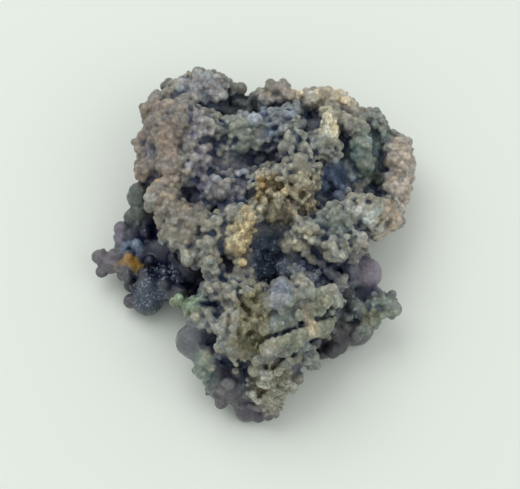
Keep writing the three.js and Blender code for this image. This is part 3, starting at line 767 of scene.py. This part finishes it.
def hollowness(mesh, tree):
    """How shut in each point is: by close walls, as in a crevice, and by far ones, as in a hollow."""
    random = np.random.default_rng(5)
    spread = random.normal(size=(RAYS, 3))
    spread /= np.linalg.norm(spread, axis=1)[:, None]
    points = points_of(mesh)
    normals = normals_of(mesh)
    close = np.zeros(len(points))
    far = np.zeros(len(points))
    for i, (point, normal) in enumerate(zip(points, normals)):
        start = Vector(point + normal * RAY_START * MM)
        for ray in spread:
            way = ray + normal * RAY_LEAN
            found = tree.ray_cast(start, Vector(way), RAY_REACH * MM)
            if found[0] is not None:
                gap = found[3] / MM
                close[i] += gap < CLOSE_WALL
                far[i] += 1 - gap / RAY_REACH
    return close / RAYS, far / RAYS


def area_colours(place, stray):
    """The colour of the area that each place is in. Stray moves the areas' edges about."""
    under = (1 - ramp(place[:, 2], *UNDER_BELOW))[:, None]
    colour = linear(TOP_COLOUR) * (1 - under) + linear(UNDER_COLOUR) * under
    for area, (tint, cover) in TINTS.items():
        share = (inside(place + stray, area) * cover)[:, None]
        colour = colour * (1 - share) + linear(tint) * share
    return BRIGHTNESS * colour


def wander(place, size):
    """How far the areas' edges stray at each place. It changes smoothly over about that size."""
    spots = [Vector(p) / size for p in place]
    return AREA_WANDER * np.array([[noise.noise(spot + shift) for shift in WANDER_SHIFTS] for spot in spots])


def ball_colours(centres):
    """The colour of each ball: its area's colour, in a lighter or darker, warmer or cooler shade."""
    random = np.random.default_rng(9)
    place = centres / MM
    stray = wander(place, BALL_WANDER_SIZE) + random.normal(scale=BALL_STRAY, size=place.shape)
    shade = 1 + random.normal(scale=BALL_VARIETY, size=(len(place), 1))
    warmth = random.normal(scale=BALL_WARMTH, size=len(place))
    clumps = [noise.noise(Vector(p) / WARM_CLUMP_SIZE + WARM_CLUMP_SHIFT) for p in place]
    warmth += CLUMP_WARMTH * np.array(clumps)
    return area_colours(place, stray) * np.clip(shade, *SHADE_LIMITS) * (1 + warmth[:, None] * WARMTH)


def skin_colours(mesh, centres, smooth):
    """The skin's own colours: one for each ball where it is rough, and unbroken areas where it is smooth."""
    place = points_of(mesh)
    tree = KDTree(len(centres))
    for i, centre in enumerate(centres):
        tree.insert(centre, i)
    tree.balance()
    nearest = np.array([tree.find(p)[1] for p in place])
    rough_colour = ball_colours(centres)[nearest]
    smooth_colour = area_colours(place / MM, wander(place / MM, SKIN_WANDER_SIZE))
    return rough_colour * (1 - smooth) + smooth_colour * smooth


def darkened(colour, warm, tints, share):
    """A colour turned by that share towards a warm or a cool tint of painted shade, and never lighter."""
    tint = linear(tints[0]) * warm + linear(tints[1]) * (1 - warm)
    return colour * (1 - share) + np.minimum(tint, colour) * share


def paint(mesh, centres):
    """Stores each point's colour, with painted shade in its hollows and painted light on its tips, and its
    gloss and sparkle.
    """
    place = points_of(mesh) / MM
    surface = surface_of(mesh)
    broad, fine = relief(place, surface)
    close, far = hollowness(mesh, surface)
    close = edge_mean(mesh, close, 1)
    far = edge_mean(mesh, far, 3)
    warm = most(place, SUGARY_AREAS)[:, None]
    smooth = np.maximum(most(place, SMOOTH_AREAS), 1 - ramp(place[:, 2], *SMOOTH_BELOW))[:, None]
    colour = skin_colours(mesh, centres, smooth)
    lit = 1 - OPEN_DEPTH * most(place, OPEN_AREAS)
    # Painted shade on low ground and, from the rays, in crevices and hollows, partly the stone's own deeper
    # blue there
    deep = (0.7 * ramp(-broad, -0.2, 1.8) + 0.3 * ramp(-fine, 0.0, 0.7)) * lit
    deep = (deep * (1 - SMOOTH_DEPTH * smooth[:, 0]))[:, None] * DEEP_SHADE_COVER
    colour = darkened(colour, warm, (DEEP_SHADE_WARM, DEEP_SHADE_COOL), deep)
    shut = np.clip(0.62 * ramp(close, 0.2, 0.7) + 0.45 * ramp(far, 0.3, 0.8), 0, MOST_SHUT) * lit
    colour = darkened(colour, warm, (CREVICE_SHADE_WARM, CREVICE_SHADE_COOL), shut[:, None])
    # Painted light on open, raised tips, partly their paler frost
    tip = (ramp(0.3 - close, 0.0, 0.3) + 0.6 * ramp(fine, 0.1, 0.8) + 0.5 * ramp(broad, 0.3, 1.8))[:, None]
    tip = tip * (1 - SMOOTH_TIP * smooth)
    colour = colour * (1 + PAINTED_TIP_LIGHT * tip) * (1 - TIP_COVER * tip) + linear(TIP_COLOUR) * TIP_COVER * tip
    store(mesh, "tint", np.clip(colour, 0, 1))
    # Painted shade on reflections: the gloss drops where the point is shut in
    store(mesh, "open", 1 - np.clip(ramp(far, 0.15, 0.6) + 0.5 * shut, 0, 1))
    store(mesh, "druse", most(place, DRUSY_AREAS))
    store(mesh, "sugar", warm[:, 0])
    store(mesh, "smooth", smooth[:, 0])


def stored(tree, name, output="Fac"):
    """What a mesh stores at each point under that name."""
    return node(tree, "ShaderNodeAttribute", attribute_name=name).outputs[output]


def pattern(tree, place, kind, width, inputs=None, **settings):
    """The outputs of a texture node whose details are about that wide."""
    links = {"Vector": place, "Scale": 1 / (width * MM), **(inputs or {})}
    return node(tree, kind, links, **settings).outputs


def chalcedony():
    """Waxy, slightly translucent quartz: soft gloss, fine mottling, painted light and shade on its fine
    grains, and drusy sparkle where it is sugary, partly painted glints in its colour.
    """
    material = bpy.data.materials.new("waxy_chalcedony")
    material.use_nodes = True
    tree = material.node_tree
    tree.nodes.clear()
    place = node(tree, "ShaderNodeTexCoord").outputs["Object"]
    tint = stored(tree, "tint", "Color")
    sugar = stored(tree, "sugar")
    smooth = stored(tree, "smooth")
    clear = stored(tree, "open")
    druse = stored(tree, "druse")
    rough = maths(tree, "SUBTRACT", 1.0, smooth)

    mottle = pattern(tree, place, "ShaderNodeTexNoise", MOTTLE, {"Detail": 3.0, "Roughness": 0.6})
    blotch = pattern(tree, place, "ShaderNodeTexNoise", BLOTCH, {"Detail": 2.0})
    pores = pattern(tree, place, "ShaderNodeTexNoise", PORES, {"Detail": 2.0})
    softened = {"Smoothness": CRUST_SOFTNESS}
    crust = pattern(tree, place, "ShaderNodeTexVoronoi", CRUST_GRAIN, softened, feature="SMOOTH_F1")
    grit = pattern(tree, place, "ShaderNodeTexVoronoi", SUGAR_GRAIN)
    crystal = pattern(tree, place, "ShaderNodeTexVoronoi", CRYSTAL)

    fleck = mapped(tree, mottle[0], (0.3, 0.7), FLECK_SHADES)
    patch = mapped(tree, blotch[0], (0.3, 0.7), BLOTCH_SHADES)
    # Painted light on the crust's fine grains and painted shade at their edges
    tips = mapped(tree, crust["Distance"], (0.05, 0.6), CRUST_LIGHT_AND_SHADE)
    grit_shade = mapped(tree, grit["Color"], (0.2, 0.8), SUGAR_SHADES)
    tipped = maths(tree, "MULTIPLY_ADD", tips, rough, 1.0)
    sugared = maths(tree, "MULTIPLY_ADD", grit_shade, sugar, 1.0)
    stains = maths(tree, "MULTIPLY", fleck, patch)
    grains = maths(tree, "MULTIPLY", tipped, sugared)
    colour = scaled(tree, tint, maths(tree, "MULTIPLY", stains, grains))
    # Painted glints: the colour turns pale blue-white on the sparkling crystals, which are also glossier
    spark = maths(tree, "MULTIPLY", mapped(tree, crystal["Color"], SPARKS, (0.0, GLINT_PAINT_COVER)), druse)
    lit = node(
        tree,
        "ShaderNodeMix",
        {"Factor": spark, 6: colour, 7: (*linear(GLINT_PAINT_COLOUR), 1)},
        data_type="RGBA",
    )

    crust_height = maths(tree, "MULTIPLY", crust["Distance"], rough)
    grit_height = maths(tree, "MULTIPLY", grit["Distance"], sugar)
    druse_height = maths(tree, "MULTIPLY", crystal["Distance"], druse)
    both_heights = maths(tree, "MULTIPLY_ADD", grit_height, 0.5, crust_height)
    porous = maths(tree, "MULTIPLY_ADD", pores[0], -0.5, both_heights)
    height = maths(tree, "ADD", porous, druse_height)
    bump = node(
        tree,
        "ShaderNodeBump",
        {"Height": height, "Strength": BUMP_STRENGTH, "Distance": BUMP_HEIGHT * MM},
        invert=True,
    )

    gloss = mapped(tree, blotch[0], (0.35, 0.65), ROUGHNESS)
    waxy = maths(tree, "MULTIPLY_ADD", smooth, WAX_POLISH, gloss)
    shader = node(
        tree,
        "ShaderNodeBsdfPrincipled",
        {
            "Base Color": lit.outputs[2],
            "Specular IOR Level": maths(tree, "MULTIPLY_ADD", clear, GLOSS[1], GLOSS[0]),
            "Roughness": maths(tree, "MULTIPLY_ADD", spark, SPARK_POLISH, waxy),
            "Normal": bump.outputs["Normal"],
            "IOR": QUARTZ_IOR,
            "Subsurface Weight": GLOW,
            "Subsurface Radius": GLOW_RADIUS,
            "Subsurface Scale": GLOW_SCALE * MM,
        },
    )
    node(tree, "ShaderNodeOutputMaterial", {"Surface": shader.outputs["BSDF"]})
    return material


def make_stone(cad):
    """The whole stone in one skin, on the CAD solid's own flats."""
    host = make_host(cad)
    finish = chalcedony()
    mesh, centres = make_skin(host, finish)
    points = points_of(mesh)
    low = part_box(NODE)[0][2]
    points[:, 2] = np.maximum(points[:, 2], low)
    move_points(mesh, points)
    paint(mesh, centres)
    for polygon in mesh.polygons:
        polygon.use_smooth = True
    mesh.materials.clear()
    mesh.materials.append(finish)
    stone = add_object(mesh, "chalcedony")
    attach(stone, "root")
    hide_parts(NODE)
    return stone


# The photograph's setting: a plain pale surface under soft light, seen from high in front
CAMERA_RISE = math.radians(68)
CAMERA_AWAY = 355 * MM
PICTURE_WIDTH = 520
MM_PER_DOT = 0.15
LOOK_AT = (0.45, -1.0, 8.6)
FOCUS_RISE = 6  # the top of the stone is in focus, and the rims and the shelves are a little soft
FOCUS_STOP = 40
SENSOR_WIDTH = 36
TABLETOP_COLOUR = "#e3e8e2"
ROOM_COLOUR = "#eef2ee"
ROOM_LIGHT = 0.78


def make_floor():
    """The plain pale surface that the stone lies on."""
    bpy.ops.mesh.primitive_plane_add(size=3)
    floor = bpy.context.object
    floor.name = "floor"
    material = bpy.data.materials.new("pale_tabletop")
    material.use_nodes = True
    shader = material.node_tree.nodes["Principled BSDF"]
    shader.inputs["Base Color"].default_value = (*linear(TABLETOP_COLOUR), 1)
    shader.inputs["Roughness"].default_value = 0.6
    floor.data.materials.append(material)


def add_light(name, place, size, power):
    """A round soft light that faces the stone. Its place and size are in metres."""
    data = bpy.data.lights.new(name, "AREA")
    data.shape = "DISK"
    data.size = size
    data.energy = power
    light = bpy.data.objects.new(name, data)
    light.location = place
    light.rotation_euler = (-Vector(place)).to_track_quat("-Z", "Y").to_euler()
    bpy.context.scene.collection.objects.link(light)


def make_setting():
    """The tabletop, a soft light from the upper left and a weaker one from the right, and the camera."""
    make_floor()
    add_light("window", (-0.35, 0.45, 0.9), 0.9, 4.0)
    add_light("fill", (0.6, -0.3, 0.9), 0.9, 1.5)
    world = bpy.data.worlds.new("room")
    world.use_nodes = True
    room = world.node_tree.nodes["Background"].inputs
    room["Color"].default_value = (*linear(ROOM_COLOUR), 1)
    room["Strength"].default_value = ROOM_LIGHT
    bpy.context.scene.world = world
    data = bpy.data.cameras.new("camera")
    data.sensor_width = SENSOR_WIDTH
    data.lens = CAMERA_AWAY / MM / (PICTURE_WIDTH * MM_PER_DOT) * data.sensor_width
    camera = bpy.data.objects.new("camera", data)
    away = Vector((0, -math.cos(CAMERA_RISE), math.sin(CAMERA_RISE))) * CAMERA_AWAY
    data.dof.use_dof = True
    data.dof.focus_distance = (CAMERA_AWAY / MM - FOCUS_RISE) * MM
    data.dof.aperture_fstop = FOCUS_STOP
    camera.location = Vector(LOOK_AT) * MM + away
    camera.rotation_euler = (-away).to_track_quat("-Z", "Y").to_euler()
    bpy.context.scene.collection.objects.link(camera)
    bpy.context.scene.camera = camera
    bpy.context.scene.view_settings.view_transform = "Standard"


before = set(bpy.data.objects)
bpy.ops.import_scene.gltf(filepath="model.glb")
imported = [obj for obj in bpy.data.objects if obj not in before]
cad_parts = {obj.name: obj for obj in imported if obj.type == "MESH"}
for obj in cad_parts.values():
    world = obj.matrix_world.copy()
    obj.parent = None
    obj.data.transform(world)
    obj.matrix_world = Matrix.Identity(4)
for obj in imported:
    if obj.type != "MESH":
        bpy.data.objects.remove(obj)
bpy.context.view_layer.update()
make_stone(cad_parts[NODE])
make_setting()
